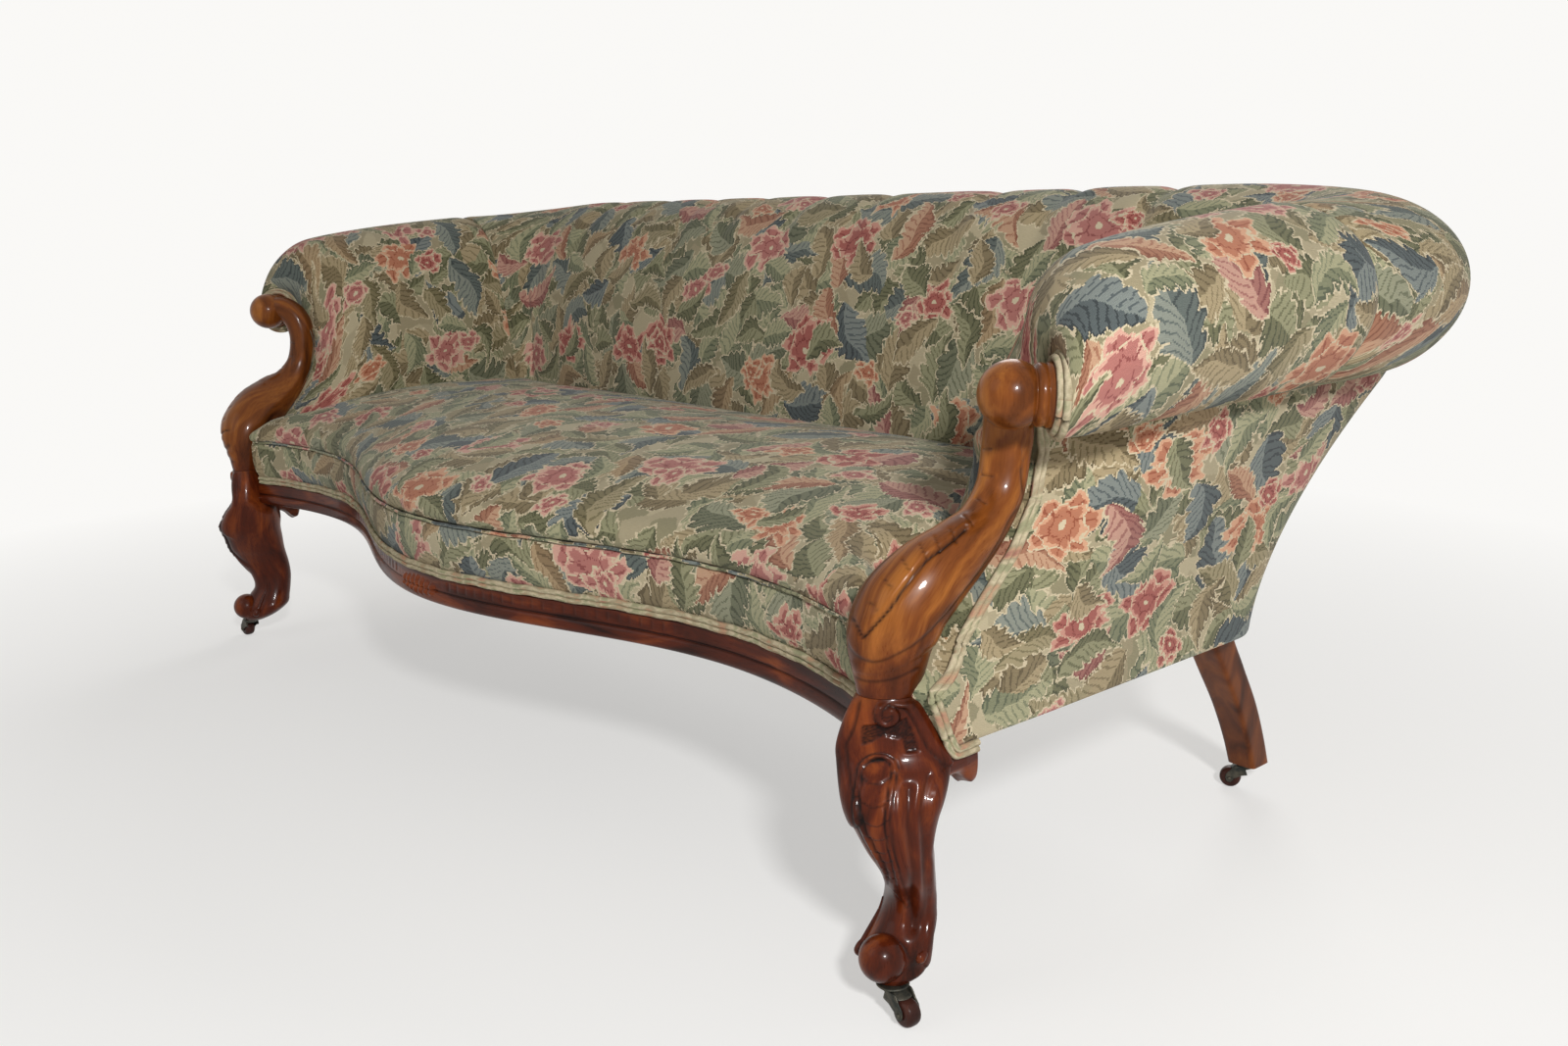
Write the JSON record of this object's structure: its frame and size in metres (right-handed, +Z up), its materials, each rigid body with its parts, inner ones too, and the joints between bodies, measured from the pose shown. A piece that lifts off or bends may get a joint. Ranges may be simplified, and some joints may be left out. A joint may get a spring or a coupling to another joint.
{
  "type": "chesterfield sofa",
  "caption": "Show-wood chesterfield sofa with rolled arms and back, a serpentine sprung seat in verdure tapestry, carved cabriole legs and swivelling castors.",
  "frame": {"origin": "on the floor under the middle of the sofa's box", "axes": "+X along the seat to the sitter's left, +Y from the front of the seat to the back, +Z up"},
  "size_m": [1.993, 0.9315, 0.7664],
  "materials": {
    "walnut": "french polished",
    "beech": "sawn",
    "stained_wood": "stained satin",
    "tapestry": "woven",
    "piping": "woven",
    "webbing": "jute",
    "hessian": "jute",
    "black_cloth": "matt",
    "spring_steel": "drawn wire",
    "brass": "aged",
    "lignum": "worn"
  },
  "bodies": {
    "frame": {"arm_pad_left": "tapestry", "arm_pad_right": "tapestry", "arm_post_left": "walnut", "arm_post_right": "walnut", "arm_top_rail_left": "beech", "arm_top_rail_right": "beech", "arm_upright_left": "beech", "arm_upright_right": "beech", "arm_welt_left": "piping", "arm_welt_right": "piping", "back_pad": "tapestry", "back_stile_left": "beech", "back_stile_right": "beech", "back_top_rail": "beech", "back_upright_left": "beech", "back_upright_right": "beech", "bottom_cloth": "black_cloth", "castor_plate_front_left": "brass", "castor_plate_front_right": "brass", "castor_plate_rear_left": "brass", "castor_plate_rear_right": "brass", "corner_block_front_left": "beech", "corner_block_front_right": "beech", "corner_block_rear_left": "beech", "corner_block_rear_right": "beech", "corner_pad_left": "tapestry", "corner_pad_right": "tapestry", "front_leg_left": "walnut", "front_leg_right": "walnut", "front_rail": "walnut", "leg_ear_left": "walnut", "leg_ear_right": "walnut", "outside_arm_left": "tapestry", "outside_arm_right": "tapestry", "outside_back": "tapestry", "rail_welt": "piping", "rear_leg_left": "stained_wood", "rear_leg_right": "stained_wood", "seat_border": "tapestry", "seat_hessian": "hessian", "seat_pad": "tapestry", "seat_rail_back": "beech", "seat_rail_front": "beech", "seat_rail_left": "beech", "seat_rail_right": "beech", "seat_springs": "spring_steel", "seat_stretcher": "beech", "seat_webbing": "webbing"},
    "castor_front_right": {"castor_fork_front_right": "brass", "castor_axle_front_right": "brass"},
    "wheel_front_right": {"castor_wheel_front_right": "lignum"},
    "castor_front_left": {"castor_fork_front_left": "brass", "castor_axle_front_left": "brass"},
    "wheel_front_left": {"castor_wheel_front_left": "lignum"},
    "castor_rear_right": {"castor_fork_rear_right": "brass", "castor_axle_rear_right": "brass"},
    "wheel_rear_right": {"castor_wheel_rear_right": "lignum"},
    "castor_rear_left": {"castor_fork_rear_left": "brass", "castor_axle_rear_left": "brass"},
    "wheel_rear_left": {"castor_wheel_rear_left": "lignum"}
  },
  "joints": [
    {"name": "swivel_front_right", "type": "hinge", "parent": "frame", "child": "castor_front_right", "pos_m": [0.82297, -0.39248, 0.034], "axis": [0, 0, 1], "continuous": true},
    {"name": "roll_front_right", "type": "hinge", "parent": "castor_front_right", "child": "wheel_front_right", "pos_m": [0.84389, -0.39432, 0.0135], "axis": [0.0872, 0.9962, 0], "continuous": true},
    {"name": "swivel_front_left", "type": "hinge", "parent": "frame", "child": "castor_front_left", "pos_m": [-0.82297, -0.39248, 0.034], "axis": [0, 0, 1], "continuous": true},
    {"name": "roll_front_left", "type": "hinge", "parent": "castor_front_left", "child": "wheel_front_left", "pos_m": [-0.84389, -0.39432, 0.0135], "axis": [-0.0872, 0.9962, 0], "continuous": true},
    {"name": "swivel_rear_right", "type": "hinge", "parent": "frame", "child": "castor_rear_right", "pos_m": [0.768, 0.318, 0.034], "axis": [0, 0, 1], "continuous": true},
    {"name": "roll_rear_right", "type": "hinge", "parent": "castor_rear_right", "child": "wheel_rear_right", "pos_m": [0.74897, 0.30912, 0.0135], "axis": [0.4226, -0.9063, 0], "continuous": true},
    {"name": "swivel_rear_left", "type": "hinge", "parent": "frame", "child": "castor_rear_left", "pos_m": [-0.768, 0.318, 0.034], "axis": [0, 0, 1], "continuous": true},
    {"name": "roll_rear_left", "type": "hinge", "parent": "castor_rear_left", "child": "wheel_rear_left", "pos_m": [-0.74897, 0.30912, 0.0135], "axis": [-0.4226, -0.9063, 0], "continuous": true}
  ]
}
